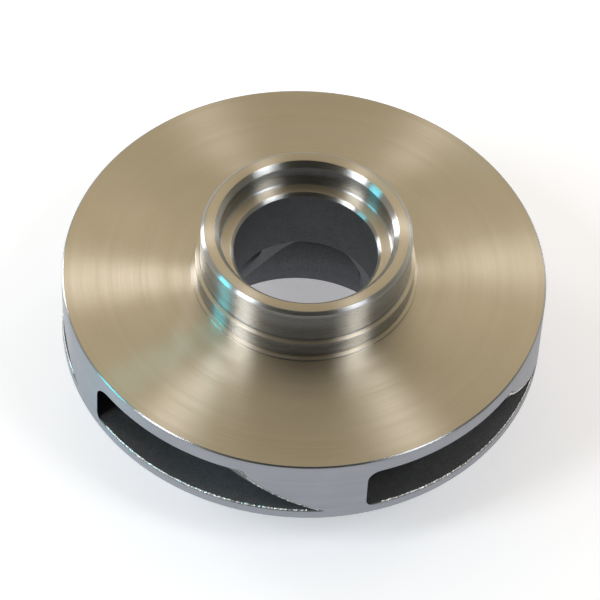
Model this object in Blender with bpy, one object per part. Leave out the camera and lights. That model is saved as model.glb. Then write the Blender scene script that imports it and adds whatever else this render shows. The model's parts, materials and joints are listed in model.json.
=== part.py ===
"""Closed centrifugal pump impeller, 200 mm across, cast in one piece and turned.

Each feature of the casting is one named solid, and neighbours meet on flat faces:
two shrouds, five backward-curved vanes, the stepped neck on top and the suction neck
that it stands on. Metres, +Z up, origin on the axis at the foot of the suction neck.
"""
import math

import bmesh
import bpy

MM = 0.001

# Driving sizes, millimetres
OUTER_R = 100.0
RIM_HEIGHT = 34.5
UPPER_PLATE = 7.7
LOWER_PLATE = 5.0

SUCTION_NECK_HEIGHT = 29.0
SUCTION_R = 47.5
SUCTION_WALL = 5.5
SUCTION_SPLIT_Z = 6.0
SUCTION_CHAMFER = 1.0

NECK_HEIGHT = 26.7
NECK_R = 43.4
NECK_CHAMFER = 1.4
COLLAR_R = 45.3
COLLAR_HEIGHT = 10.0
FOOT_R = 46.8
FOOT_HEIGHT = 1.5
COUNTERBORE_R = 35.7
COUNTERBORE_DEPTH = 11.9
COUNTERBORE_CHAMFER = 2.2
BORE_R = 29.6
BORE_CHAMFER = 1.4
RIM_CHAMFER = 0.5

HUB_DROP = 8.1
HUB_LIP = 1.9
HUB_CURVE_R = 60.0
EYE_CURVE_R = 66.0
EYE_CURVE_DROP = 27.5
BACK_CURVE_R = 72.0
BACK_CURVE_DROP = 20.0

VANES = 5
VANE_ANGLE = 21.7
FIRST_VANE_AZIMUTH = -72.0
# Inside this radius the vanes turn steadily from that angle to stand radial in the eye
TURN_IN_R = 80.0
TURN_IN = 88.0
VANE_INLET_HUB_R = 32.0
VANE_INLET_EYE_R = 47.2
VANE_INLET_EYE_Z = 5.0
# The inlet edge grows this much thicker on its way up to the hub
HUB_SWELL = 7.8
# Thickness square to the vane, at the inlet and at the rim
INLET_ROOT = 3.8
INLET_TOP = 4.8
TIP_ROOT = 6.6
TIP_TOP = 19.0
# The near side of each vane leans out as it rises, flat at its foot and steeper above
NEAR_SIDE_CURVE = 1.38
# The far side of each vane is square below and sweeps out under the upper plate
TIP_FILLET = 3.6
FILLET_HEIGHT = 7.0
# Gaps to the curved parts of the plates: upwards, and sideways where they are steep
VANE_GAP = 0.3
HUB_GAP = 0.5
EYE_GAP = 0.3
# A vane's lower edge leaves the upright throat at the first, and has turned into the eye curve at the second
THROAT_R = 47.3
EYE_CURVE_START_R = 48.5
# Outside this radius the vanes stand on the flat of the lower plate
VANE_SEAT_R = 62.0

# Height of the thin nose where a vane's inlet edge starts under the hub
INLET_NOSE = 1.5
# The vanes thicken from here out to the rim
THICKENING_R = 58.0

SEGMENTS = 80
CURVE_STEPS = 7
VANE_LEVELS = 6
# The vanes are made this much too long and too tall, and trimmed
TRIM_LENGTH = 6.0
TRIM_HEIGHT = 1.0

# Heights that follow, millimetres above the floor
RIM_LOW = SUCTION_NECK_HEIGHT
PASSAGE_LOW = RIM_LOW + LOWER_PLATE
DISC_TOP = RIM_LOW + RIM_HEIGHT
PASSAGE_HIGH = DISC_TOP - UPPER_PLATE
NECK_TOP = DISC_TOP + NECK_HEIGHT
COLLAR_TOP = DISC_TOP + COLLAR_HEIGHT
SEAT_Z = NECK_TOP - COUNTERBORE_DEPTH
HUB_LIP_Z = PASSAGE_HIGH - HUB_DROP


def clear_scene():
    for thing in list(bpy.data.objects):
        bpy.data.objects.remove(thing, do_unlink=True)


def steel(name, colour, roughness):
    material = bpy.data.materials.new(name)
    material.use_nodes = True
    shader = material.node_tree.nodes["Principled BSDF"]
    shader.inputs["Base Color"].default_value = (*colour, 1.0)
    shader.inputs["Metallic"].default_value = 1.0
    shader.inputs["Roughness"].default_value = roughness
    material.diffuse_color = (*colour, 1.0)
    return material


def quarter_curve(inner_r, outer_r, low_z, high_z, steps):
    """Points of a quarter ellipse, upright at inner_r and level at outer_r."""
    points = []
    for step in range(steps + 1):
        turn = math.pi / 2 * step / steps
        r = outer_r - (outer_r - inner_r) * math.cos(turn)
        z = low_z + (high_z - low_z) * math.sin(turn)
        points.append((r, z))
    return points


def curve_height(r, inner_r, outer_r, low_z, high_z):
    """Height of the same quarter ellipse at radius r."""
    if r >= outer_r:
        return high_z
    share = min(1.0, (outer_r - r) / (outer_r - inner_r))
    return low_z + (high_z - low_z) * math.sqrt(1.0 - share * share)


def link_mesh(name, mesh, material):
    mesh.materials.append(material)
    thing = bpy.data.objects.new(name, mesh)
    bpy.context.scene.collection.objects.link(thing)
    return thing


def turned(name, profile, material):
    """A ring turned about the axis from a closed profile of (radius, height)."""
    shape = bmesh.new()
    rows = []
    for step in range(SEGMENTS):
        turn = 2 * math.pi * step / SEGMENTS
        rows.append([shape.verts.new((r * MM * math.cos(turn), r * MM * math.sin(turn), z * MM))
                     for r, z in profile])
    count = len(profile)
    for step in range(SEGMENTS):
        here = rows[step]
        there = rows[(step + 1) % SEGMENTS]
        for index in range(count):
            after = (index + 1) % count
            shape.faces.new((here[index], there[index], there[after], here[after]))
    bmesh.ops.recalc_face_normals(shape, faces=shape.faces)
    mesh = bpy.data.meshes.new(name)
    shape.to_mesh(mesh)
    shape.free()
    mesh.shade_smooth()
    mesh.set_sharp_from_angle(angle=math.radians(30))
    return link_mesh(name, mesh, material)


def upper_shroud_profile():
    """Disc, rim edge, and the hub curve that ends in the lip of the bore."""
    under = quarter_curve(BORE_R + HUB_LIP, HUB_CURVE_R, HUB_LIP_Z, PASSAGE_HIGH, CURVE_STEPS)
    under.reverse()
    return ([(BORE_R, DISC_TOP), (OUTER_R - RIM_CHAMFER, DISC_TOP), (OUTER_R, DISC_TOP - RIM_CHAMFER),
             (OUTER_R, PASSAGE_HIGH)] + under + [(BORE_R + HUB_LIP / 2, HUB_LIP_Z - HUB_LIP / 2),
                                                 (BORE_R, HUB_LIP_Z)])


def upper_neck_profile():
    """Stepped neck: foot bead, collar, turned wall, counterbore, seat and bore."""
    chamfer_r = COUNTERBORE_R + COUNTERBORE_CHAMFER
    return [
        (BORE_R, DISC_TOP),
        (FOOT_R, DISC_TOP),
        (COLLAR_R, DISC_TOP + FOOT_HEIGHT),
        (COLLAR_R, COLLAR_TOP),
        (NECK_R, COLLAR_TOP),
        (NECK_R, NECK_TOP - NECK_CHAMFER),
        (NECK_R - NECK_CHAMFER, NECK_TOP),
        (chamfer_r, NECK_TOP),
        (COUNTERBORE_R, NECK_TOP - COUNTERBORE_CHAMFER),
        (COUNTERBORE_R, SEAT_Z + BORE_CHAMFER / 2),
        (COUNTERBORE_R - BORE_CHAMFER / 2, SEAT_Z),
        (BORE_R + BORE_CHAMFER, SEAT_Z),
        (BORE_R, SEAT_Z - BORE_CHAMFER),
    ]


def lower_shroud_profile():
    """Lower plate of the rim, curving down on both faces to the suction neck."""
    eye_low = PASSAGE_LOW - EYE_CURVE_DROP
    back_low = RIM_LOW - BACK_CURVE_DROP
    inner = quarter_curve(SUCTION_R, EYE_CURVE_R, eye_low, PASSAGE_LOW, CURVE_STEPS)
    outer = quarter_curve(SUCTION_R + SUCTION_WALL, BACK_CURVE_R, back_low, RIM_LOW, CURVE_STEPS)
    outer.reverse()
    return ([(SUCTION_R, SUCTION_SPLIT_Z)] + inner + [(OUTER_R, PASSAGE_LOW), (OUTER_R, RIM_LOW)]
            + outer + [(SUCTION_R + SUCTION_WALL, SUCTION_SPLIT_Z)])


def suction_neck_profile():
    outer_r = SUCTION_R + SUCTION_WALL
    return [
        (SUCTION_R, 0.0),
        (outer_r - SUCTION_CHAMFER, 0.0),
        (outer_r, SUCTION_CHAMFER),
        (outer_r, SUCTION_SPLIT_Z),
        (SUCTION_R, SUCTION_SPLIT_Z),
    ]


def ease(low, high, value):
    share = min(1.0, max(0.0, (value - low) / (high - low)))
    return share * share * (3.0 - 2.0 * share)


def vane_ceiling(r):
    """Upper edge of a vane: it follows the hub curve, then runs on into the flat plate."""
    if r > HUB_CURVE_R:
        return PASSAGE_HIGH + TRIM_HEIGHT
    hub = curve_height(r - HUB_GAP, BORE_R + HUB_LIP, HUB_CURVE_R, HUB_LIP_Z, PASSAGE_HIGH)
    return hub - VANE_GAP


def vane_floor(r):
    """Lower edge of a vane: the slanted inlet edge, the eye curve, then the flat plate."""
    if r > VANE_SEAT_R:
        return PASSAGE_LOW - TRIM_HEIGHT
    if r > VANE_INLET_EYE_R:
        eye = curve_height(r + EYE_GAP, SUCTION_R, EYE_CURVE_R, PASSAGE_LOW - EYE_CURVE_DROP, PASSAGE_LOW)
        return eye + VANE_GAP
    hub_z = vane_ceiling(VANE_INLET_HUB_R) - INLET_NOSE
    share = (r - VANE_INLET_HUB_R) / (VANE_INLET_EYE_R - VANE_INLET_HUB_R)
    return hub_z + (VANE_INLET_EYE_Z - hub_z) * share


def spine_azimuth(r):
    """Azimuth in degrees of the far side of the first vane: a log spiral, turned in near the hub."""
    spiral = math.degrees(math.log(r / OUTER_R)) / math.tan(math.radians(VANE_ANGLE))
    inside = math.log(TURN_IN_R / r) if r < TURN_IN_R else 0.0
    return FIRST_VANE_AZIMUTH + spiral + TURN_IN * inside * inside


def spine_angle(r):
    """Angle in radians between the vane and the circle of radius r."""
    inside = math.log(TURN_IN_R / r) if r < TURN_IN_R else 0.0
    lean = 1.0 / math.tan(math.radians(VANE_ANGLE)) - 2.0 * math.radians(TURN_IN) * inside
    return math.atan2(1.0, lean)


def vane_sides(r, z):
    """Azimuths in degrees of the two faces of the first vane at radius r and height z."""
    spine = spine_azimuth(r)
    height = min(1.0, max(0.0, (z - PASSAGE_LOW) / (PASSAGE_HIGH - PASSAGE_LOW)))
    towards_rim = ease(THICKENING_R, OUTER_R, r)
    root = INLET_ROOT + (TIP_ROOT - INLET_ROOT) * towards_rim
    top = INLET_TOP + (TIP_TOP - INLET_TOP) * towards_rim
    thickness = root + (top - root) * (1.0 - (1.0 - height) ** NEAR_SIDE_CURVE)
    inward = (VANE_INLET_EYE_R - r) / (VANE_INLET_EYE_R - VANE_INLET_HUB_R)
    thickness += HUB_SWELL * max(0.0, inward)
    along = r * math.sin(spine_angle(r))
    sweep = min(1.0, max(0.0, (z - PASSAGE_HIGH + FILLET_HEIGHT) / FILLET_HEIGHT))
    fillet = TIP_FILLET * towards_rim * (1.0 - math.sqrt(1.0 - sweep * sweep))
    near = spine - math.degrees(thickness / along)
    far = spine + math.degrees(fillet / along)
    return near, far


def vane_stations():
    """Radii of the vane's sections, with one at each radius where its edges turn."""
    turns = [(VANE_INLET_HUB_R, VANE_INLET_EYE_R, 9), (VANE_INLET_EYE_R, THROAT_R, 1),
             (THROAT_R, EYE_CURVE_START_R, 3), (EYE_CURVE_START_R, HUB_CURVE_R, 6),
             (HUB_CURVE_R, VANE_SEAT_R, 1), (VANE_SEAT_R, OUTER_R + TRIM_LENGTH, 14)]
    radii = [VANE_INLET_HUB_R]
    for start, end, steps in turns:
        radii += [start + (end - start) * (step + 1) / steps for step in range(steps)]
    return radii


def vane_section(shape, r):
    """Corners of the vane on the cylinder of radius r, round its outline."""
    low = vane_floor(r)
    high = vane_ceiling(r)
    heights = [low + (high - low) * level / (VANE_LEVELS - 1) for level in range(VANE_LEVELS)]
    near = [(vane_sides(r, z)[0], z) for z in heights]
    far = [(vane_sides(r, z)[1], z) for z in reversed(heights)]
    top = [((near[-1][0] + far[0][0]) / 2, high)]
    bottom = [((near[0][0] + far[-1][0]) / 2, low)]
    corners = []
    for azimuth, z in near + top + far + bottom:
        turn = math.radians(azimuth)
        corners.append(shape.verts.new((r * MM * math.cos(turn), r * MM * math.sin(turn), z * MM)))
    return corners


def cap_section(shape, ring):
    """Close one end of the vane, level by level."""
    last = VANE_LEVELS - 1
    near = ring[:VANE_LEVELS]
    far = ring[VANE_LEVELS + 1:2 * VANE_LEVELS + 1][::-1]
    for level in range(1, last - 1):
        shape.faces.new((near[level], near[level + 1], far[level + 1], far[level]))
    shape.faces.new((near[last - 1], near[last], ring[VANE_LEVELS], far[last], far[last - 1]))
    shape.faces.new((near[1], far[1], far[0], ring[-1], near[0]))


def vane_mesh():
    """The first vane as sections on cylinders about the axis, joined end to end."""
    shape = bmesh.new()
    rings = [vane_section(shape, r) for r in vane_stations()]
    count = len(rings[0])
    for here, there in zip(rings, rings[1:]):
        for index in range(count):
            after = (index + 1) % count
            shape.faces.new((here[index], there[index], there[after], here[after]))
    cap_section(shape, rings[0])
    cap_section(shape, rings[-1])
    bmesh.ops.recalc_face_normals(shape, faces=shape.faces)
    mesh = bpy.data.meshes.new("vane")
    shape.to_mesh(mesh)
    shape.free()
    return mesh


def rim_guide(material):
    """The space between the two flat plates, which trims the vanes at the rim."""
    guide = turned("rim_guide", [
        (BORE_R, PASSAGE_LOW - EYE_CURVE_DROP),
        (VANE_SEAT_R, PASSAGE_LOW - EYE_CURVE_DROP),
        (VANE_SEAT_R, PASSAGE_LOW),
        (OUTER_R, PASSAGE_LOW),
        (OUTER_R, PASSAGE_HIGH),
        (BORE_R, PASSAGE_HIGH),
    ], material)
    guide.hide_render = True
    guide.display_type = "WIRE"
    return guide


def add_vanes(material):
    guide = rim_guide(material)
    mesh = vane_mesh()
    mesh.materials.append(material)
    for number in range(VANES):
        vane = bpy.data.objects.new(f"vane_{number + 1}", mesh)
        bpy.context.scene.collection.objects.link(vane)
        vane.rotation_euler = (0.0, 0.0, 2 * math.pi * number / VANES)
        trim = vane.modifiers.new("trim_to_rim", "BOOLEAN")
        trim.operation = "INTERSECT"
        trim.object = guide


def build():
    clear_scene()
    machined = steel("machined_stainless", (0.55, 0.50, 0.42), 0.3)
    cast = steel("cast_stainless", (0.27, 0.28, 0.30), 0.55)
    turned("upper_shroud", upper_shroud_profile(), machined)
    turned("upper_neck", upper_neck_profile(), machined)
    turned("lower_shroud", lower_shroud_profile(), cast)
    turned("suction_neck", suction_neck_profile(), machined)
    add_vanes(cast)


build()
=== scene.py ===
# %% [markdown]
# # A closed pump impeller
#
# The real object is one stainless steel casting, 200 mm across. A foundry pours it around a sand core,
# which leaves the dark, grainy passages between its five vanes. A lathe then turns every face that has to
# run true: the flat disc, the stepped neck and the rim. This file dresses the plain solids of the frame in
# the same order: the turned body first, then the cores, then the finishes and the light.

# %% Load the frame
import json
import math
import random

import bmesh
import bpy
from mathutils import Matrix, Vector

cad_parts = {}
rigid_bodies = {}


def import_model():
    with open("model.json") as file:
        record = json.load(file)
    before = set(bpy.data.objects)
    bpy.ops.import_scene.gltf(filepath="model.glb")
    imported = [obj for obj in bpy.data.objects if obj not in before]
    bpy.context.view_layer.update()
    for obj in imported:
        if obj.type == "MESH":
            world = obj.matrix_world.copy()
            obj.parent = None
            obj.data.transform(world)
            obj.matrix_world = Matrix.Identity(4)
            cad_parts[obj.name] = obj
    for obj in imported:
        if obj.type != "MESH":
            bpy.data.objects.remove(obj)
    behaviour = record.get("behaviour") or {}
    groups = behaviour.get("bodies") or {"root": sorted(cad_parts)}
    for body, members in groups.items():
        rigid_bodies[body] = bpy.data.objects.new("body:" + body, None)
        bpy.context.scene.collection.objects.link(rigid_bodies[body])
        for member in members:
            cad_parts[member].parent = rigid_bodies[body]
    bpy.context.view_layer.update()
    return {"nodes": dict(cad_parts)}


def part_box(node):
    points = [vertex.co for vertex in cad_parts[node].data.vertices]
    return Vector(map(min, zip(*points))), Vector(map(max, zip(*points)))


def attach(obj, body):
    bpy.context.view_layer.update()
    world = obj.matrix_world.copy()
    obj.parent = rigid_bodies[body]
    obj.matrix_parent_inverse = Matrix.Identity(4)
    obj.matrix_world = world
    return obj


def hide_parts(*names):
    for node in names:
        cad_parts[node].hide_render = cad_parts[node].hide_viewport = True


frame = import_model()
scene = bpy.context.scene
print("nodes in the frame:", ", ".join(sorted(frame["nodes"])))

# %% [markdown]
# ## Sizes
#
# A lathe drawing gives radii and heights, so every size here is a radius or a height in millimetres. The
# ones that the frame knows are read from it, so the dressed casting can't drift away from the solids. They
# could all be typed in again, but then a change to a solid would have to be made twice. The rest are the
# drawing's own corner sizes.

# %% Sizes read from the frame
MM = 0.001


def frame_mm(node, corner, axis):
    """One side of a node's box in millimetres: corner 0 is the lowest and 1 the highest."""
    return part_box(node)[corner][axis] / MM


OUTER_R = frame_mm("upper_shroud", 1, 0)
DISC_TOP = frame_mm("upper_neck", 0, 2)
NECK_TOP = frame_mm("upper_neck", 1, 2)
FOOT_R = frame_mm("upper_neck", 1, 0)
PASSAGE_LOW = frame_mm("lower_shroud", 1, 2)
PASSAGE_HIGH = frame_mm("vane_1", 1, 2)
SUCTION_OUTER_R = frame_mm("suction_neck", 1, 0)
SUCTION_SPLIT_Z = frame_mm("suction_neck", 1, 2)
print(f"disc {2 * OUTER_R:.1f} mm across, {DISC_TOP:.1f} mm up, neck to {NECK_TOP:.1f} mm")
print(f"passages from {PASSAGE_LOW:.1f} to {PASSAGE_HIGH:.1f} mm")

# %% Sizes of the turned steps, in millimetres
LOWER_PLATE = 5.0
RIM_LOW = PASSAGE_LOW - LOWER_PLATE
RIM_CHAMFER = 0.6
PLATE_CHAMFER = 0.4

NECK_R = 43.4
NECK_CHAMFER = 1.4
COLLAR_R = 45.3
COLLAR_TOP = DISC_TOP + 10.0
FOOT_HEIGHT = 1.5
GROOVE_DEPTH = 0.4
GROOVE_HEIGHT = 0.5
GROOVE_SLOPE = 0.2
LEDGE_FALL = 0.35
FOOT_UNDERCUT = 0.3

COUNTERBORE_R = 35.7
COUNTERBORE_CHAMFER = 2.2
SEAT_Z = NECK_TOP - 11.9
SEAT_CHAMFER = 0.7
BORE_R = 29.6
BORE_CHAMFER = 1.4

SUCTION_R = 47.5
SUCTION_CHAMFER = 1.0
SUCTION_EASE = 0.8
print(f"neck {2 * NECK_R:.1f} mm across, collar {2 * COLLAR_R:.1f} mm, bore {2 * BORE_R:.1f} mm")

# %% [markdown]
# ## Camera
#
# The photo was taken with a long lens from about 1.7 m away, looking down at 51 degrees, and held a little
# out of level. The camera could be placed by eye, but a long lens hides its mistakes until the ellipses of
# the rim and the neck are laid over the photo. Its place was worked out from those circles instead, and is
# given here as the point it looks at, its distance, two angles and the tilt of its frame.

# %% Camera
LOOK_AT = Vector((-0.00113, -0.01481, 0.0635))
CAMERA_DISTANCE = 1.6909
CAMERA_AZIMUTH = -89.94
CAMERA_ELEVATION = 51.459
CAMERA_ROLL = 3.503
CAMERA_LENS = 247.25
SENSOR_WIDTH = 36.0


def direction(azimuth, elevation):
    """The unit vector that points that way from the object, angles in degrees."""
    turn = math.radians(azimuth)
    rise = math.radians(elevation)
    return Vector((math.cos(turn) * math.cos(rise), math.sin(turn) * math.cos(rise), math.sin(rise)))


def place_camera():
    """Look from the photo's side, then turn the frame about the line of sight."""
    data = bpy.data.cameras.new("camera")
    data.lens = CAMERA_LENS
    data.sensor_width = SENSOR_WIDTH
    data.clip_start = 0.01
    camera = bpy.data.objects.new("camera", data)
    scene.collection.objects.link(camera)
    away = direction(CAMERA_AZIMUTH, CAMERA_ELEVATION)
    level = away.to_track_quat("Z", "Y").to_matrix()
    turn = level @ Matrix.Rotation(math.radians(CAMERA_ROLL), 3, "Z")
    camera.matrix_world = Matrix.Translation(LOOK_AT + away * CAMERA_DISTANCE) @ turn.to_4x4()
    return camera


scene.camera = place_camera()
print("camera at", [round(x, 4) for x in scene.camera.matrix_world.translation])

# %% [markdown]
# ## Colours and nodes
#
# Colours are written as they would be picked from a screen, in sRGB hex, and Blender's shaders want linear
# light. One function does that change. Another adds a shader node with its settings and links in one line,
# so that a material further down reads as a list of what it is made from.

# %% Colour and node helpers


def colour(hex_value):
    """Linear RGBA of an sRGB hex colour."""
    parts = [int(hex_value[i:i + 2], 16) / 255 for i in (1, 3, 5)]
    linear = [p / 12.92 if p <= 0.04045 else ((p + 0.055) / 1.055) ** 2.4 for p in parts]
    return (*linear, 1.0)


def add(tree, kind, settings=None, inputs=None):
    """Add a node. An input is a socket to link from, or the value to set."""
    made = tree.nodes.new("ShaderNode" + kind)
    for name, value in (settings or {}).items():
        setattr(made, name, value)
    for name, value in (inputs or {}).items():
        socket = made.inputs[name]
        if isinstance(value, bpy.types.NodeSocket):
            tree.links.new(value, socket)
        else:
            socket.default_value = value
    return made


def new_material(name):
    """An empty material with its node tree, ready for a shader."""
    material = bpy.data.materials.new(name)
    material.use_nodes = True
    material.node_tree.nodes.clear()
    return material, material.node_tree


print("#808080 in linear light:", [round(part, 3) for part in colour("#808080")])

# %% [markdown]
# ## Floor
#
# The photo's object stands on nothing: its ground is pure white, but through the bore the ground shows grey.
# A white floor that also glows a little, like a light table, gives both. Where the studio lights reach it,
# it goes to white, and inside the bore only its own glow is left. A brighter floor without a glow would do
# for the white, but it would leave the bore's view of the ground nearly black.

# %% Floor
FLOOR_SIDE = 40.0
FLOOR_GLOW = 0.40
FLOOR_WHITE = "#f2f2f4"
GLOW_WHITE = "#fbfbff"


def lay_floor():
    """A square of matt white paper, lit a little from below."""
    material, tree = new_material("pale_floor")
    shader = add(tree, "BsdfPrincipled", inputs={
        "Base Color": colour(FLOOR_WHITE), "Roughness": 0.9, "Specular IOR Level": 0.0,
        "Emission Color": colour(GLOW_WHITE), "Emission Strength": FLOOR_GLOW})
    add(tree, "OutputMaterial", inputs={"Surface": shader.outputs[0]})
    mesh = bpy.data.meshes.new("floor")
    half = FLOOR_SIDE / 2
    corners = [(-half, -half, 0), (half, -half, 0), (half, half, 0), (-half, half, 0)]
    mesh.from_pydata(corners, [], [(0, 1, 2, 3)])
    mesh.materials.append(material)
    floor = bpy.data.objects.new("floor", mesh)
    scene.collection.objects.link(floor)
    return floor


lay_floor()
print(f"floor {FLOOR_SIDE:.0f} m square, glowing at {FLOOR_GLOW}")

# %% [markdown]
# ## Light
#
# Turned steel has hardly any colour of its own. What the eye reads as champagne is a warm room, and the
# pale fans on the disc are its windows. Grooves that run in circles smear each light straight across them,
# so every lamp draws one line through the middle of the disc, and the line's direction is the lamp's. The
# photo shows three such lines: one for each window beside the camera, and one that two low windows at the
# back share. A teal screen stands too low to reach the disc and shows on the neck alone. The dark stripe
# down the front of the neck is the unlit corner behind the camera. A picture of a studio wrapped round the
# scene would need an image, so the room is mixed from four colours instead.

# %% Studio surroundings
BACK_ROOM = "#dacfb8"
LEFT_ROOM = "#b3ab9c"
RIGHT_ROOM = "#7d7768"
DARK_CORNER = "#0c0b0a"
# Azimuth and elevation of the middle of the dark corner
DARK_CORNER_WAY = (-90.0, 40.0)
# Where each change of colour starts and ends: along X, along Y, and in closeness to the dark corner
SIDE_RAMP = (-0.5, 0.5)
BACK_RAMP = (0.0, 0.6)
DARK_RAMP = (0.74, 0.92)


def light_surroundings():
    """A room that is pale and warm behind the object and dark behind the camera."""
    world = bpy.data.worlds.new("studio")
    scene.world = world
    world.use_nodes = True
    tree = world.node_tree
    tree.nodes.clear()
    place = add(tree, "TexCoord")
    axes = add(tree, "SeparateXYZ", inputs={0: place.outputs["Generated"]})
    side = add(tree, "MapRange", {"interpolation_type": "SMOOTHSTEP"},
               {"Value": axes.outputs["X"], "From Min": SIDE_RAMP[0], "From Max": SIDE_RAMP[1]})
    sides = add(tree, "Mix", {"data_type": "RGBA"},
                {"Factor": side.outputs[0], "A": colour(LEFT_ROOM), "B": colour(RIGHT_ROOM)})
    back = add(tree, "MapRange", {"interpolation_type": "SMOOTHSTEP"},
               {"Value": axes.outputs["Y"], "From Min": BACK_RAMP[0], "From Max": BACK_RAMP[1]})
    room = add(tree, "Mix", {"data_type": "RGBA"},
               {"Factor": back.outputs[0], "A": sides.outputs["Result"], "B": colour(BACK_ROOM)})
    facing = add(tree, "VectorMath", {"operation": "DOT_PRODUCT"},
                 {0: place.outputs["Generated"], 1: direction(*DARK_CORNER_WAY)})
    dark = add(tree, "MapRange", {"interpolation_type": "SMOOTHSTEP"},
               {"Value": facing.outputs["Value"], "From Min": DARK_RAMP[0], "From Max": DARK_RAMP[1]})
    seen = add(tree, "Mix", {"data_type": "RGBA"},
               {"Factor": dark.outputs[0], "A": room.outputs["Result"], "B": colour(DARK_CORNER)})
    light = add(tree, "Background", inputs={"Color": seen.outputs["Result"], "Strength": 1.0})
    add(tree, "OutputWorld", inputs={"Surface": light.outputs[0]})


light_surroundings()
print("surroundings:", scene.world.name, "with", len(scene.world.node_tree.nodes), "nodes")

# %% Studio lamps
LAMP_DISTANCE = 2.5

# name: azimuth, elevation, width and height in degrees, radiance, colour
LAMPS = {
    "window_right": (-30.0, 50.0, 15.0, 26.0, 6.0, "#fbfcff"),
    "window_left": (-150.0, 42.0, 14.0, 26.0, 8.5, "#f4f8ff"),
    "window_far_left": (148.0, 16.0, 14.0, 22.0, 9.0, "#f6f8ff"),
    "window_far_right": (50.0, 26.0, 9.0, 18.0, 2.6, "#f6f8ff"),
    "teal_screen": (-167.0, 10.0, 13.0, 22.0, 11.0, "#45c3d4"),
}


def hang_lamps():
    """Square lamps that face the object, sized by the angle that they fill."""
    for name, (azimuth, elevation, wide, tall, radiance, tint) in LAMPS.items():
        data = bpy.data.lights.new(name, "AREA")
        data.shape = "RECTANGLE"
        data.size = 2 * LAMP_DISTANCE * math.tan(math.radians(wide / 2))
        data.size_y = 2 * LAMP_DISTANCE * math.tan(math.radians(tall / 2))
        data.energy = radiance * math.pi * data.size * data.size_y
        data.color = colour(tint)[:3]
        lamp = bpy.data.objects.new(name, data)
        scene.collection.objects.link(lamp)
        out = direction(azimuth, elevation)
        lamp.location = LOOK_AT + out * LAMP_DISTANCE
        lamp.rotation_euler = out.to_track_quat("Z", "Y").to_euler()
    print(len(LAMPS), "lamps at", LAMP_DISTANCE, "m")


hang_lamps()
# The plain view transform keeps the whites white and the hex colours as they were picked
scene.view_settings.view_transform = "Standard"

# %% [markdown]
# ## Steel from the lathe
#
# The disc is stainless steel faced on a lathe: the tool's tip leaves one fine groove about the axis for
# every 0.2 mm that it moves on. Grooves make the surface smooth along them and rough across them, which is
# anisotropy, and the Tangent node gives their direction about Z. A bump map of grooves this fine would only
# shimmer, so each groove leans up or down by a small chance amount instead. Bands some millimetres wide, a
# little darker or duller than their neighbours, show where the tool was dressed or cooled.

# %% Grooves about the axis
FEED_MM = 0.2
FEED_BAND_MM = 6.0
# The height counts this many times as much as the radius, so that a chamfer's grooves don't cancel out
HEIGHT_SHARE = 1.6
GROOVE_LEAN = 0.05


def profile_distance(tree):
    """Position along the lathe's profile: it changes on flat, upright and slanted faces alike."""
    place = add(tree, "TexCoord")
    axes = add(tree, "SeparateXYZ", inputs={0: place.outputs["Object"]})
    flat = add(tree, "CombineXYZ", inputs={0: axes.outputs[0], 1: axes.outputs[1]})
    radius = add(tree, "VectorMath", {"operation": "LENGTH"}, {0: flat.outputs[0]})
    return add(tree, "Math", {"operation": "MULTIPLY_ADD"},
               {0: axes.outputs["Z"], 1: HEIGHT_SHARE, 2: radius.outputs["Value"]}).outputs[0]


def groove_normal(tree, along):
    """The normal of a grooved face: each groove leans up or down the profile by its own amount."""
    place = add(tree, "TexCoord").outputs["Object"]
    face = add(tree, "NewGeometry").outputs["Normal"]
    turn = add(tree, "VectorMath", {"operation": "CROSS_PRODUCT"}, {0: (0.0, 0.0, 1.0), 1: place})
    ring = add(tree, "VectorMath", {"operation": "NORMALIZE"}, {0: turn.outputs[0]})
    across = add(tree, "VectorMath", {"operation": "CROSS_PRODUCT"}, {0: face, 1: ring.outputs[0]})
    count = add(tree, "Math", {"operation": "DIVIDE"}, {0: along, 1: FEED_MM * MM})
    number = add(tree, "Math", {"operation": "FLOOR"}, {0: count.outputs[0]})
    chance = add(tree, "TexWhiteNoise", {"noise_dimensions": "1D"}, {"W": number.outputs[0]})
    amount = add(tree, "MapRange", inputs={
        "Value": chance.outputs["Value"], "To Min": -GROOVE_LEAN, "To Max": GROOVE_LEAN})
    step = add(tree, "VectorMath", {"operation": "SCALE"},
               {0: across.outputs[0], "Scale": amount.outputs[0]})
    tilted = add(tree, "VectorMath", {"operation": "ADD"}, {0: face, 1: step.outputs[0]})
    return add(tree, "VectorMath", {"operation": "NORMALIZE"}, {0: tilted.outputs[0]}).outputs[0]


print(f"one groove every {FEED_MM} mm, in bands about {FEED_BAND_MM:.0f} mm wide")

# %% Turned steel
# Clouds of slightly paler and darker steel are about 33 mm across
CLOUDS_PER_METRE = 30.0
# The middle of what the noise gives, which the colours and the roughness are spread over
MARKS_RAMP = (0.75, 1.25)
BANDS_RAMP = (0.3, 0.7)


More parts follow.
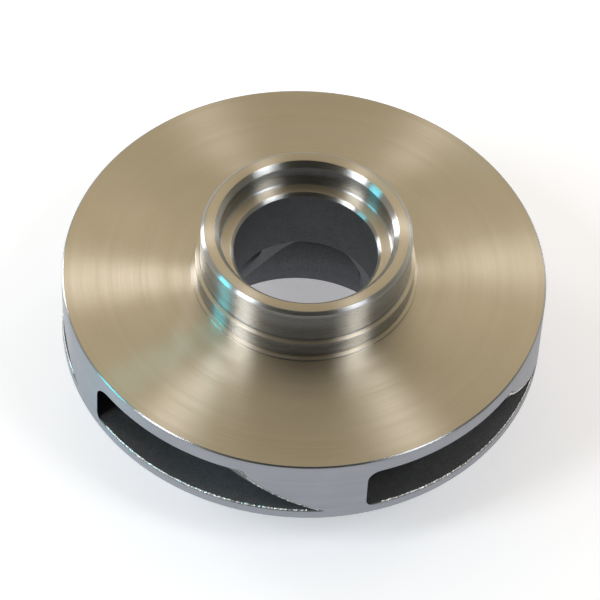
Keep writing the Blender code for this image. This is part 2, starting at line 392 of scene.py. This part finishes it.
def turned_steel(name, low, high, roughness, spread, anisotropic=1.0):
    """Steel cut by a lathe tool: colour from low to high, smooth along its grooves and rough across."""
    material, tree = new_material(name)
    along = profile_distance(tree)
    bands = add(tree, "TexNoise", {"noise_dimensions": "1D"}, {
        "W": along, "Scale": 1 / (FEED_BAND_MM * MM), "Detail": 4.0, "Roughness": 0.6}).outputs["Fac"]
    place = add(tree, "TexCoord")
    clouds = add(tree, "TexNoise", inputs={
        "Vector": place.outputs["Object"], "Scale": CLOUDS_PER_METRE, "Detail": 4.0}).outputs["Fac"]
    marks = add(tree, "Math", {"operation": "ADD"}, {0: bands, 1: clouds})
    shade = add(tree, "MapRange", inputs={
        "Value": marks.outputs[0], "From Min": MARKS_RAMP[0], "From Max": MARKS_RAMP[1]})
    tone = add(tree, "Mix", {"data_type": "RGBA"},
               {"Factor": shade.outputs[0], "A": colour(low), "B": colour(high)})
    rough = add(tree, "MapRange", inputs={
        "Value": bands, "From Min": BANDS_RAMP[0], "From Max": BANDS_RAMP[1],
        "To Min": roughness - spread, "To Max": roughness + spread})
    rings = add(tree, "Tangent", {"direction_type": "RADIAL", "axis": "Z"})
    shader = add(tree, "BsdfPrincipled", inputs={
        "Base Color": tone.outputs["Result"], "Metallic": 1.0, "Roughness": rough.outputs[0],
        "Anisotropic": anisotropic, "Anisotropic Rotation": 0.25,
        "Tangent": rings.outputs[0], "Normal": groove_normal(tree, along)})
    add(tree, "OutputMaterial", inputs={"Surface": shader.outputs[0]})
    return material


# Champagne by its warm surroundings, with a broad sheen. Its warm base colour is partly a painted reflection
# of that warm room, on top of the steel's own grey
FACED = turned_steel("stainless_faced_disc_painted_warm_reflection", "#cdc3b0", "#d6ccbb", roughness=0.32, spread=0.02)
# The neck's fits are cut finer, so its stripes of light are sharper and its grey is neutral
BORED = turned_steel("stainless_turned_neck", "#abadae", "#b8babb", roughness=0.28, spread=0.02)
# The rim only had its casting skin taken off: duller and less ordered. Its bluer base colour is partly a
# painted reflection of the cool light in front of it
SKIMMED = turned_steel("stainless_skimmed_rim_painted_cool_reflection", "#94979e", "#a0a2a9", roughness=0.42, spread=0.03,
                       anisotropic=0.7)
print("turned finishes:", FACED.name, BORED.name, SKIMMED.name)

# %% [markdown]
# ## Steel from the sand
#
# Inside the passages nothing has been turned. Molten steel took the print of the sand core, grain by grain,
# and shot blasting left it a dull dark grey. Grains of 0.3 to 0.6 mm make a rough, matt surface that eats
# the light, and slow ripples come from the core's rammed sand. Moving the mesh grain by grain would take
# millions of faces, and a bump map gives the same dull look.

# %% As-cast steel
SAND_GRAIN_MM = 0.6
RIPPLE_MM = 4.0
RIPPLE_SHARE = 0.25
PRINT_DEPTH_MM = 0.15
PRINT_RAMP = (0.35, 0.9)


def cast_steel(name, low, high):
    """Steel with the print of sand in it: matt, dark, and grainy in colour and in relief."""
    material, tree = new_material(name)
    place = add(tree, "TexCoord")
    grain = add(tree, "TexNoise", inputs={
        "Vector": place.outputs["Object"], "Scale": 1 / (SAND_GRAIN_MM * MM), "Detail": 3.0})
    ripple = add(tree, "TexNoise", inputs={
        "Vector": place.outputs["Object"], "Scale": 1 / (RIPPLE_MM * MM), "Detail": 2.0})
    relief = add(tree, "Math", {"operation": "MULTIPLY_ADD"},
                 {0: ripple.outputs["Fac"], 1: RIPPLE_SHARE, 2: grain.outputs["Fac"]})
    shade = add(tree, "MapRange", inputs={
        "Value": relief.outputs[0], "From Min": PRINT_RAMP[0], "From Max": PRINT_RAMP[1]})
    tone = add(tree, "Mix", {"data_type": "RGBA"},
               {"Factor": shade.outputs[0], "A": colour(low), "B": colour(high)})
    bump = add(tree, "Bump", inputs={
        "Height": relief.outputs[0], "Strength": 0.6, "Distance": PRINT_DEPTH_MM * MM})
    shader = add(tree, "BsdfPrincipled", inputs={
        "Base Color": tone.outputs["Result"], "Metallic": 1.0, "Roughness": 0.62,
        "Normal": bump.outputs[0]})
    add(tree, "OutputMaterial", inputs={"Surface": shader.outputs[0]})
    return material


AS_CAST = cast_steel("stainless_as_cast", "#6c6d6f", "#8a8c8f")
print("cast finish:", AS_CAST.name)

# %% [markdown]
# ## The turned body
#
# A lathe makes a body from a profile, and so can a mesh: write the profile once as corners, and spin it.
# The Screw modifier would do, but a short loop lets each stretch of the profile carry its own finish. No
# corner on real metal is perfectly sharp, so each one says how far from it the rounding starts, and that
# thin band is what catches a bright line of light.

# %% Profile helpers
CORNER_STEPS = 3
CURVE_STEPS = 22
SPIN_STEPS = 360


def eased_corner(before, corner, after, reach):
    """Points that round a corner off, from reach before it to reach after it."""
    start = corner + (before - corner).normalized() * reach
    end = corner + (after - corner).normalized() * reach
    points = []
    for step in range(CORNER_STEPS + 1):
        share = step / CORNER_STEPS
        points.append(start.lerp(corner, share).lerp(corner.lerp(end, share), share))
    return points


def round_profile(corners):
    """Turn (radius, height, reach, finish) corners into (radius, height, finish) points."""
    points = []
    count = len(corners)
    for index, (r, z, reach, finish) in enumerate(corners):
        before = Vector(corners[index - 1][:2])
        after = Vector(corners[(index + 1) % count][:2])
        if reach == 0.0:
            points.append((r, z, finish))
            continue
        rounded = eased_corner(before, Vector((r, z)), after, reach)
        points += [(p.x, p.y, finish) for p in rounded]
    return points


def quarter_curve(inner_r, outer_r, low_z, high_z, finish):
    """Corners of a quarter ellipse, upright at inner_r and level at outer_r."""
    corners = []
    for step in range(CURVE_STEPS + 1):
        turn = math.pi / 2 * step / CURVE_STEPS
        r = outer_r - (outer_r - inner_r) * math.cos(turn)
        corners.append((r, low_z + (high_z - low_z) * math.sin(turn), 0.0, finish))
    return corners


def curve_height(r, inner_r, outer_r, low_z, high_z):
    """Height of the same quarter ellipse at radius r."""
    share = min(1.0, max(0.0, (outer_r - r) / (outer_r - inner_r)))
    return low_z + (high_z - low_z) * math.sqrt(1.0 - share * share)


print("an eased corner has", CORNER_STEPS + 1, "points, and the body is spun in", SPIN_STEPS, "steps")

# %% Curves of the water passage, in millimetres
HUB_DROP = 8.1
HUB_LIP = 1.9
HUB_CURVE_R = 60.0
HUB_LIP_Z = PASSAGE_HIGH - HUB_DROP
EYE_CURVE_R = 66.0
EYE_LOW_Z = PASSAGE_LOW - 27.5
BACK_CURVE_R = 72.0
BACK_LOW_Z = RIM_LOW - 20.0
# The inlet edges of the vanes run from the bore's lip out and down to the throat of the eye
INLET_START_Z = HUB_LIP_Z - 0.4
INLET_END_Z = 5.0
# The body keeps this much metal below the inlet edges, for the cores to take off
INLET_SPARE = 1.2
# Extra rows of points on the bore wall above the lip keep its shading straight
BORE_LOOPS = (0.4, 1.2, 3.0, 8.0, 16.0)


def hub_height(r):
    """Underside of the hub: a half-round lip at the bore, then a quarter ellipse out to the plate."""
    middle = BORE_R + HUB_LIP / 2
    if r < BORE_R + HUB_LIP:
        off = min(1.0, abs(r - middle) / (HUB_LIP / 2))
        return HUB_LIP_Z - HUB_LIP / 2 * math.sqrt(1.0 - off * off)
    return curve_height(r, BORE_R + HUB_LIP, HUB_CURVE_R, HUB_LIP_Z, PASSAGE_HIGH)


def eye_height(r):
    """Upper face of the lower plate, which curves down into the eye."""
    return curve_height(r, SUCTION_R, EYE_CURVE_R, EYE_LOW_Z, PASSAGE_LOW)


def inlet_share(r):
    """How far along the inlet edge a radius lies: 0 at the bore, 1 at the throat of the eye."""
    return (r - BORE_R) / (SUCTION_R - BORE_R)


def inlet_edge(r):
    """Height of the slanted inlet edge of the vanes at radius r."""
    return INLET_START_Z + (INLET_END_Z - INLET_START_Z) * inlet_share(r)


print(f"hub lip at {HUB_LIP_Z:.1f} mm, inlet edges from {INLET_START_Z:.1f} down to {INLET_END_Z:.1f} mm")

# %% Profile of the body
TURNED_NECK, FACED_DISC, SKIMMED_RIM, CAST_SKIN = range(4)
FINISHES = [BORED, FACED, SKIMMED, AS_CAST]


def neck_corners():
    """From the bore's lower lip up over the neck and down to the disc."""
    return [
        (BORE_R, inlet_edge(BORE_R) - INLET_SPARE, 0.0, CAST_SKIN),
    ] + [(BORE_R, HUB_LIP_Z + rise, 0.0, CAST_SKIN) for rise in BORE_LOOPS] + [
        (BORE_R, SEAT_Z - BORE_CHAMFER, 0.2, TURNED_NECK),
        (BORE_R + BORE_CHAMFER, SEAT_Z, 0.2, FACED_DISC),
        (COUNTERBORE_R - SEAT_CHAMFER, SEAT_Z, 0.15, TURNED_NECK),
        (COUNTERBORE_R, SEAT_Z + SEAT_CHAMFER, 0.15, TURNED_NECK),
        (COUNTERBORE_R, NECK_TOP - COUNTERBORE_CHAMFER, 0.2, TURNED_NECK),
        (COUNTERBORE_R + COUNTERBORE_CHAMFER, NECK_TOP, 0.25, FACED_DISC),
        (NECK_R - NECK_CHAMFER, NECK_TOP, 0.3, TURNED_NECK),
        (NECK_R, NECK_TOP - NECK_CHAMFER, 0.3, TURNED_NECK),
        (NECK_R, COLLAR_TOP + GROOVE_HEIGHT, 0.1, TURNED_NECK),
        (NECK_R - GROOVE_DEPTH, COLLAR_TOP + GROOVE_HEIGHT - GROOVE_SLOPE, 0.1, TURNED_NECK),
        (NECK_R - GROOVE_DEPTH, COLLAR_TOP, 0.1, TURNED_NECK),
        (NECK_R + GROOVE_DEPTH, COLLAR_TOP, 0.1, FACED_DISC),
        (COLLAR_R, COLLAR_TOP - LEDGE_FALL, 0.1, TURNED_NECK),
        (COLLAR_R, DISC_TOP + FOOT_HEIGHT + GROOVE_HEIGHT, 0.1, TURNED_NECK),
        (COLLAR_R - GROOVE_DEPTH, DISC_TOP + FOOT_HEIGHT, 0.1, FACED_DISC),
        (FOOT_R, DISC_TOP + FOOT_HEIGHT - LEDGE_FALL, 0.25, TURNED_NECK),
        (FOOT_R - FOOT_UNDERCUT, DISC_TOP, 0.1, FACED_DISC),
    ]


def rim_corners():
    """Out over the disc, down the rim, and back under the lower plate to the suction neck."""
    back = quarter_curve(SUCTION_OUTER_R, BACK_CURVE_R, BACK_LOW_Z, RIM_LOW, CAST_SKIN)
    back.reverse()
    return [
        (OUTER_R - RIM_CHAMFER, DISC_TOP, 0.15, TURNED_NECK),
        (OUTER_R, DISC_TOP - RIM_CHAMFER, 0.2, SKIMMED_RIM),
        (OUTER_R, RIM_LOW + PLATE_CHAMFER, 0.15, SKIMMED_RIM),
        (OUTER_R - PLATE_CHAMFER, RIM_LOW, 0.15, CAST_SKIN),
    ] + back + [
        (SUCTION_OUTER_R, SUCTION_SPLIT_Z, 0.0, TURNED_NECK),
        (SUCTION_OUTER_R, SUCTION_CHAMFER, 0.25, TURNED_NECK),
        (SUCTION_OUTER_R - SUCTION_CHAMFER, 0.0, 0.25, TURNED_NECK),
    ]


def eye_corners():
    """Up inside the suction neck to the eye, then under the inlet edges of the vanes to the bore."""
    return [
        (SUCTION_R, 0.0, SUCTION_EASE, CAST_SKIN),
        (SUCTION_R, inlet_edge(SUCTION_R) - INLET_SPARE, 0.0, CAST_SKIN),
    ]


body_profile = round_profile(neck_corners() + rim_corners() + eye_corners())
print("profile of the body:", len(body_profile), "points")

# %% Spin the profile


def join_rings(shape, here, there):
    """Faces between two closed rings of points, in the order of the points."""
    count = len(here)
    faces = []
    for index in range(count):
        after = (index + 1) % count
        faces.append(shape.faces.new((here[index], there[index], there[after], here[after])))
    return faces


def place_shape(name, shape, materials):
    """Turn a shape's faces outward and put it in the scene as an object."""
    bmesh.ops.recalc_face_normals(shape, faces=shape.faces)
    mesh = bpy.data.meshes.new(name)
    shape.to_mesh(mesh)
    shape.free()
    for material in materials:
        mesh.materials.append(material)
    thing = bpy.data.objects.new(name, mesh)
    scene.collection.objects.link(thing)
    return thing


def spin(name, profile):
    """Turn a closed profile about the axis. Each stretch keeps the finish of its first point."""
    shape = bmesh.new()
    rings = []
    for step in range(SPIN_STEPS):
        turn = 2 * math.pi * step / SPIN_STEPS
        rings.append([shape.verts.new((r * MM * math.cos(turn), r * MM * math.sin(turn), z * MM))
                      for r, z, _ in profile])
    for step, here in enumerate(rings):
        faces = join_rings(shape, here, rings[(step + 1) % SPIN_STEPS])
        for face, (_, _, finish) in zip(faces, profile):
            face.material_index = finish
    return place_shape(name, shape, FINISHES)


casting = spin("impeller_casting", body_profile)
print("turned body:", len(casting.data.polygons), "faces")

# %% [markdown]
# ## The sand cores
#
# The passages are the shape of the cores, not of the vanes, so the cores are what is modelled. Each core
# lies between the far side of one vane and the near side of the next. A vane's line is a log spiral, which
# keeps one angle to the water all the way out. The core is built of outlines on cylinders about the axis,
# from the inlet to just outside the rim, and then taken away from the body. Corners of the core are eased,
# and they become the fillets of the casting.

# %% Vane line and thickness
VANES = 5
PITCH = 360.0 / VANES
VANE_ANGLE = 21.7
FIRST_VANE_AZIMUTH = -72.0
# Inside this radius a vane turns steadily from that angle to stand radial in the eye
TURN_IN_R = 80.0
TURN_IN = 88.0
# Thickness square to the vane, in millimetres
INLET_ROOT = 3.8
INLET_TOP = 4.8
TIP_ROOT = 6.6
TIP_TOP = 19.0
THICKENING_R = 58.0
NEAR_SIDE_CURVE = 1.38
# An inlet edge grows this much thicker on its way up to the hub
HUB_SWELL = 9.2
# Height over which an inlet edge is rounded, at the bore's lip and at the eye
NOSE_AT_HUB = 0.5
NOSE_AT_EYE = 6.0
# Below a vane's inlet edge its two sides cross by this share of its thickness, so that the cores overlap
SIDES_CROSS = 0.02


def ease(low, high, value):
    """0 up to low, 1 from high on, and a soft change between."""
    share = min(1.0, max(0.0, (value - low) / (high - low)))
    return share * share * (3.0 - 2.0 * share)


def spine_azimuth(r):
    """Azimuth in degrees of the far side of the first vane at radius r."""
    spiral = math.degrees(math.log(r / OUTER_R)) / math.tan(math.radians(VANE_ANGLE))
    inside = math.log(TURN_IN_R / r) if r < TURN_IN_R else 0.0
    return FIRST_VANE_AZIMUTH + spiral + TURN_IN * inside * inside


def spine_angle(r):
    """Angle in radians between the vane and the circle of radius r."""
    inside = math.log(TURN_IN_R / r) if r < TURN_IN_R else 0.0
    lean = 1.0 / math.tan(math.radians(VANE_ANGLE)) - 2.0 * math.radians(TURN_IN) * inside
    return math.atan2(1.0, lean)


def nose_height(r):
    """Height over which the inlet edge is rounded at radius r."""
    return NOSE_AT_HUB + (NOSE_AT_EYE - NOSE_AT_HUB) * max(0.0, inlet_share(r))


def vane_sides(r, z):
    """Azimuths of the near and far side of the first vane, drawn together at its inlet edge."""
    height = min(1.0, max(0.0, (z - PASSAGE_LOW) / (PASSAGE_HIGH - PASSAGE_LOW)))
    outward = ease(THICKENING_R, OUTER_R, r)
    root = INLET_ROOT + (TIP_ROOT - INLET_ROOT) * outward
    top = INLET_TOP + (TIP_TOP - INLET_TOP) * outward
    thickness = root + (top - root) * (1.0 - (1.0 - height) ** NEAR_SIDE_CURVE)
    thickness += HUB_SWELL * max(0.0, 1.0 - inlet_share(r))
    across = math.degrees(thickness / (r * math.sin(spine_angle(r))))
    nose = 1.0
    if r < SUCTION_R:
        above = (z - inlet_edge(r)) / nose_height(r)
        nose = -SIDES_CROSS if above <= 0.0 else math.sqrt(1.0 - (1.0 - min(1.0, above)) ** 2)
    middle = spine_azimuth(r) - across / 2
    return middle - nose * across / 2, middle + nose * across / 2


print(f"a vane stands at {math.degrees(spine_angle(OUTER_R)):.1f} degrees to the rim",
      f"and at {math.degrees(spine_angle(SUCTION_R)):.1f} to the throat of the eye")

# %% Floor, ceiling and corners of a core
# A core reaches this far into the plates, so that no film of metal is left on them
CORE_SKIN = 0.03
# From this far inside the rim on, a core has the corners of its mouth
MOUTH_DEPTH = 4.0
LEAST_CORNER = 0.02
# Easing of the corners, along the plate and up the wall, in millimetres
INLET_CORNER = (1.6, 1.6)
FAR_LOW_CORNER = (3.0, 4.0)
NEAR_LOW_CORNER = (0.8, 0.5)
NEAR_HIGH_CORNER = (0.7, 0.6)
# No two cores are rammed alike: the upper corner at the far side differs from mouth to mouth
FAR_HIGH_CORNERS = [(5.6, 5.5), (7.0, 4.5), (6.2, 5.0), (8.0, 4.0), (8.5, 7.5)]


def core_floor(r):
    """Underside of the core. Inside the eye it leaves the metal and runs level, below the inlet edges."""
    if r < SUCTION_R:
        return INLET_END_Z - 2 * INLET_SPARE
    return eye_height(r) - CORE_SKIN


def core_ceiling(r):
    """Top of the core, against the hub."""
    return hub_height(r) + CORE_SKIN


def corner_at(r, mouth_corner, at_floor):
    """Easing of a corner at radius r: small at the inlet, and the mouth's own at the rim."""
    outward = ease(THICKENING_R, OUTER_R - MOUTH_DEPTH, r)
    start = ease(SUCTION_R, THICKENING_R, r) if at_floor else 1.0
    return [max(LEAST_CORNER, small * start) * (1.0 - outward) + size * outward
            for small, size in zip(INLET_CORNER, mouth_corner)]


print(f"a core is {core_ceiling(OUTER_R) - core_floor(OUTER_R):.1f} mm high at the rim")

# %% Walls of a core
MIDDLE_LEVELS = 7
# A wall's second point stands at least this far above its first, and a nose this far below the ceiling
WALL_START = 0.01
NOSE_CLEAR = 0.3
# Where the passage is low, a nose takes at most this share of it, and a corner leaves this share free
NOSE_SHARE = 0.45
FREE_SHARE = 0.1
# Points of an eased corner or a rounded nose, as shares of its height
LEVEL_SHARES = (0.0, 0.02, 0.08, 0.2, 0.4, 0.7, 1.0)


def wall_levels(r, low, high, foot, top):
    """Heights of a wall's points, close together where it is eased or rounded."""
    start = low + WALL_START
    reach = foot
    if r < SUCTION_R:
        start = max(start, min(inlet_edge(r), high - NOSE_CLEAR))
        reach = min(nose_height(r), NOSE_SHARE * (high - start))
    levels = [start + reach * share for share in LEVEL_SHARES]
    end = max(high - top, levels[-1] + FREE_SHARE * (high - levels[-1]))
    middle = [levels[-1] + (end - levels[-1]) * (step + 1) / (MIDDLE_LEVELS + 1)
              for step in range(MIDDLE_LEVELS)]
    return [low] + levels + middle + [high - (high - end) * share for share in reversed(LEVEL_SHARES)]


def eased_shift(rise, corner):
    """How far an eased corner moves the wall in at that height above or below the plate."""
    along, up = corner
    if rise >= up:
        return 0.0
    share = 1.0 - max(0.0, rise) / up
    return along * (1.0 - math.sqrt(1.0 - share * share))


print("a wall has", 1 + MIDDLE_LEVELS + 2 * len(LEVEL_SHARES), "points")

# %% Outline of a core
# From this far inside the rim the core widens at 45 degrees, which bevels the edge of its mouth
MOUTH_EDGE = 0.35
# It stops at this much, outside the metal
MOUTH_SPREAD = 1.35
PLATE_STEPS = 24
# Inside the eye an upper corner takes at most this share of the wall, and never less than this height
UPPER_SHARE = 0.6
UPPER_LEAST = 0.05


def plate_points(start, end):
    """Points along a plate, between two wall ends."""
    a = Vector(start)
    b = Vector(end)
    return [tuple(a.lerp(b, (step + 1) / PLATE_STEPS)) for step in range(PLATE_STEPS - 1)]


def core_sides(r, far_high_corner):
    """Near wall, ceiling, far wall and floor of the first core at radius r, as (arc length, height)."""
    spread = min(MOUTH_SPREAD, max(0.0, r - (OUTER_R - MOUTH_EDGE)))
    low = core_floor(r) - spread
    high = core_ceiling(r) + spread
    arc = math.radians(r)
    far_low = corner_at(r, FAR_LOW_CORNER, True)
    near_low = corner_at(r, NEAR_LOW_CORNER, True)
    far_high = corner_at(r, far_high_corner, False)
    near_high = corner_at(r, NEAR_HIGH_CORNER, False)
    if r < SUCTION_R:
        room = max(UPPER_LEAST, UPPER_SHARE * (high - inlet_edge(r)))
        far_high[1] = min(far_high[1], room)
        near_high[1] = min(near_high[1], room)
    far_wall = []
    near_wall = []
    for z in wall_levels(r, low, high, far_low[1], far_high[1]):
        far = vane_sides(r, z)[1] * arc - spread
        far_wall.append((far + eased_shift(z - low, far_low) + eased_shift(high - z, far_high), z))
    for z in wall_levels(r, low, high, near_low[1], near_high[1]):
        near = (vane_sides(r, z)[0] + PITCH) * arc + spread
        near_wall.append((near - eased_shift(z - low, near_low) - eased_shift(high - z, near_high), z))
    ceiling = plate_points(near_wall[-1], far_wall[-1])
    floor = plate_points(far_wall[0], near_wall[0])
    return near_wall, ceiling, far_wall[::-1], floor


def core_outline(r, far_high_corner):
    """The four sides joined into one closed outline."""
    return [point for side in core_sides(r, far_high_corner) for point in side]


print("an outline has", len(core_outline(OUTER_R, FAR_HIGH_CORNERS[0])), "points")

# %% Where the outlines stand
# The core's flat ends stand clear of the metal: well inside the eye, and far outside the rim
CORE_IN_R = 28.4
CORE_OUT_R = OUTER_R * 1.2
# The last outline before the metal and the first one after it
LIP_CLEAR_R = BORE_R - 0.4
MOUTH_CLEAR_R = OUTER_R + 1.0
LIP_STEPS = 8
EYE_STEPS = 14
PASSAGE_STEPS = 23
# Outlines that stand closer than this are made into one
CORE_SPACING = 0.04
# One outline stands this close inside the throat of the eye, where the core's floor drops away
THROAT_CLEAR_R = SUCTION_R - 1.2 * CORE_SPACING


def arc_radii(middle, reach, steps, turns):
    """Radii evenly spaced round an arc, so that its steep part gets as many as its flat one."""
    return [middle - reach * math.cos(turns * math.pi / 2 * step / steps) for step in range(steps + 1)]


def core_radii():
    """Where the outlines stand: close together on the lip, the hub curve, the eye and in the mouth."""
    radii = arc_radii(BORE_R + HUB_LIP / 2, HUB_LIP / 2, LIP_STEPS, 2)
    radii += arc_radii(HUB_CURVE_R, HUB_CURVE_R - BORE_R - HUB_LIP, CURVE_STEPS, 1)
    radii += arc_radii(EYE_CURVE_R, EYE_CURVE_R - SUCTION_R, EYE_STEPS, 1)
    radii.append(THROAT_CLEAR_R)
    edge = OUTER_R - MOUTH_EDGE
    for start, end, steps in [(EYE_CURVE_R, edge, PASSAGE_STEPS), (edge, OUTER_R, 2),
                              (OUTER_R, MOUTH_CLEAR_R, 1)]:
        radii += [start + (end - start) * (step + 1) / steps for step in range(steps)]
    kept = [CORE_IN_R, LIP_CLEAR_R]
    for r in sorted(radii):
        if r > kept[-1] + CORE_SPACING:
            kept.append(r)
    return kept + [CORE_OUT_R]


print("a core has", len(core_radii()), "outlines")

# %% Make the cores


def make_core(number):
    """One closed core, turned to its place."""
    shape = bmesh.new()
    rings = []
    for r in core_radii():
        ring = []
        for s, z in core_outline(r, FAR_HIGH_CORNERS[number]):
            turn = s / r + math.radians(PITCH * number)
            ring.append(shape.verts.new((r * MM * math.cos(turn), r * MM * math.sin(turn), z * MM)))
        rings.append(ring)
    for here, there in zip(rings, rings[1:]):
        join_rings(shape, here, there)
    shape.faces.new(rings[0])
    shape.faces.new(rings[-1])
    for face in shape.faces:
        face.material_index = CAST_SKIN
    return place_shape(f"core_{number + 1}", shape, FINISHES)


sand_cores = [make_core(number) for number in range(VANES)]
print("cores:", ", ".join(core.name for core in sand_cores))

# %% Cut the passages
# Edges that turn by more than this stay sharp, in degrees
SHARP_EDGE = 30


def keep_largest_body(mesh):
    """Delete the loose slivers that the cut leaves where a core only grazes the metal."""
    shape = bmesh.new()
    shape.from_mesh(mesh)
    seen = set()
    bodies = []
    for first in shape.faces:
        if first in seen:
            continue
        seen.add(first)
        body = [first]
        for face in body:
            near = dict.fromkeys(other for edge in face.edges for other in edge.link_faces
                                 if other not in seen)
            seen.update(near)
            body += near
        bodies.append(body)
    bodies.sort(key=len)
    slivers = [face for body in bodies[:-1] for face in body]
    bmesh.ops.delete(shape, geom=slivers, context="FACES")
    shape.to_mesh(mesh)
    shape.free()
    print("slivers deleted:", len(slivers), "faces")


def cut_passages(body, cores):
    """Take the cores out of the turned body."""
    for core in cores:
        cut = body.modifiers.new("cut_" + core.name, "BOOLEAN")
        cut.operation = "DIFFERENCE"
        cut.solver = "MANIFOLD"
        cut.object = core
    bpy.context.view_layer.update()
    evaluated = body.evaluated_get(bpy.context.evaluated_depsgraph_get())
    mesh = bpy.data.meshes.new_from_object(evaluated)
    body.modifiers.clear()
    body.data = mesh
    for core in cores:
        bpy.data.objects.remove(core)
    keep_largest_body(mesh)
    mesh.shade_smooth()
    mesh.set_sharp_from_angle(angle=math.radians(SHARP_EDGE))


cut_passages(casting, sand_cores)
print("casting:", len(casting.data.polygons), "faces,",
      sum(len(face.vertices) - 2 for face in casting.data.polygons), "triangles")

# %% [markdown]
# ## Burrs
#
# When the lathe skims the rim, the tool runs out over the edge of each passage and pushes a thin ragged lip
# of metal into it. It wasn't filed off here, and catches the light as a broken white line, which tells the
# eye that the dark skin inside and the grey skin outside are one piece of metal. Roughing up the edge of
# the casting itself would need a very fine mesh there, so the lip is a thin rod of its own, half sunk in
# the edge, with a new random thickness every half millimetre.

# %% Finish of the burrs
TORN_FACET_MM = 0.4
TORN_DEPTH_MM = 0.1


def torn_steel(name, low, high):
    """Freshly torn metal, broken up into facets too small to see one by one. Its near-white colour is partly
    a painted highlight.
    """
    material, tree = new_material(name)
    place = add(tree, "TexCoord")
    facets = add(tree, "TexNoise", inputs={
        "Vector": place.outputs["Object"], "Scale": 1 / (TORN_FACET_MM * MM), "Detail": 2.0}).outputs["Fac"]
    tone = add(tree, "Mix", {"data_type": "RGBA"},
               {"Factor": facets, "A": colour(low), "B": colour(high)})
    bump = add(tree, "Bump", inputs={
        "Height": facets, "Strength": 0.8, "Distance": TORN_DEPTH_MM * MM})
    shader = add(tree, "BsdfPrincipled", inputs={
        "Base Color": tone.outputs["Result"], "Metallic": 1.0, "Roughness": 0.3,
        "Normal": bump.outputs[0]})
    add(tree, "OutputMaterial", inputs={"Surface": shader.outputs[0]})
    return material


# The white end of these colours is whiter than the rest of the casting's steel: partly a painted highlight
# along the burrs
TORN = torn_steel("stainless_torn_burr_painted_glint", "#b9bbbd", "#f0f0ee")
print("burr finish:", TORN.name)

# %% Rods along the mouths, in millimetres
BURR_STEP = 0.5
# The rods run this far behind the rim, so that no burr stands past it
BURR_OUT = 0.45
BURR_R = OUTER_R - BURR_OUT
BURR_THIN = 0.12
BURR_THICK = 0.75
# The least that a burr stands out, as a share of the most
BURR_LEAST_OUT = 0.4
BURR_SEED = 11


def evenly_spaced(points, step):
    """The same line as (arc length, height) points that stand one step apart."""
    spaced = [Vector(points[0])]
    for point in points[1:]:
        target = Vector(point)
        while (target - spaced[-1]).length > step:
            spaced.append(spaced[-1] + (target - spaced[-1]).normalized() * step)
    return spaced


def add_burr(shape, line, number, chance):
    """One closed rod with four sides along a line on the rim."""
    rings = []
    for index, (s, z) in enumerate(line):
        after = line[min(index + 1, len(line) - 1)]
        before = line[max(index - 1, 0)]
        along = (after - before).normalized()
        turn = s / BURR_R + math.radians(PITCH * number)
        out = Vector((math.cos(turn), math.sin(turn), 0.0))
        across = Vector((-out.y, out.x, 0.0)) * -along.y + Vector((0.0, 0.0, along.x))
        centre = out * BURR_R + Vector((0.0, 0.0, z))
        wide = BURR_THIN + (BURR_THICK - BURR_THIN) * chance.random()
        deep = BURR_OUT * (BURR_LEAST_OUT + (1.0 - BURR_LEAST_OUT) * chance.random())
        rings.append([shape.verts.new((centre + step) * MM)
                      for step in (out * deep, across * wide, -out * BURR_OUT, -across * wide)])
    for here, there in zip(rings, rings[1:]):
        join_rings(shape, here, there)
    shape.faces.new(rings[0])
    shape.faces.new(rings[-1])


def make_burrs():
    """Burrs along the lower edge and the slanted near edge of every mouth."""
    chance = random.Random(BURR_SEED)
    shape = bmesh.new()
    for number in range(VANES):
        near_wall, _, _, floor = core_sides(BURR_R, FAR_HIGH_CORNERS[number])
        add_burr(shape, evenly_spaced(floor, BURR_STEP), number, chance)
        add_burr(shape, evenly_spaced(near_wall, BURR_STEP), number, chance)
    return place_shape("mouth_burrs", shape, [TORN])


burrs = make_burrs()
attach(burrs, "root")
print("burrs:", len(burrs.data.polygons), "faces")

# %% [markdown]
# ## Join the frame
#
# The casting is one piece and stands for all nine solids of the frame. Nothing on it moves, so it rides on
# the only body.

# %% Join the frame
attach(casting, "root")
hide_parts(*sorted(frame["nodes"]))
print(casting.name, "stands for", len(frame["nodes"]), "solids")
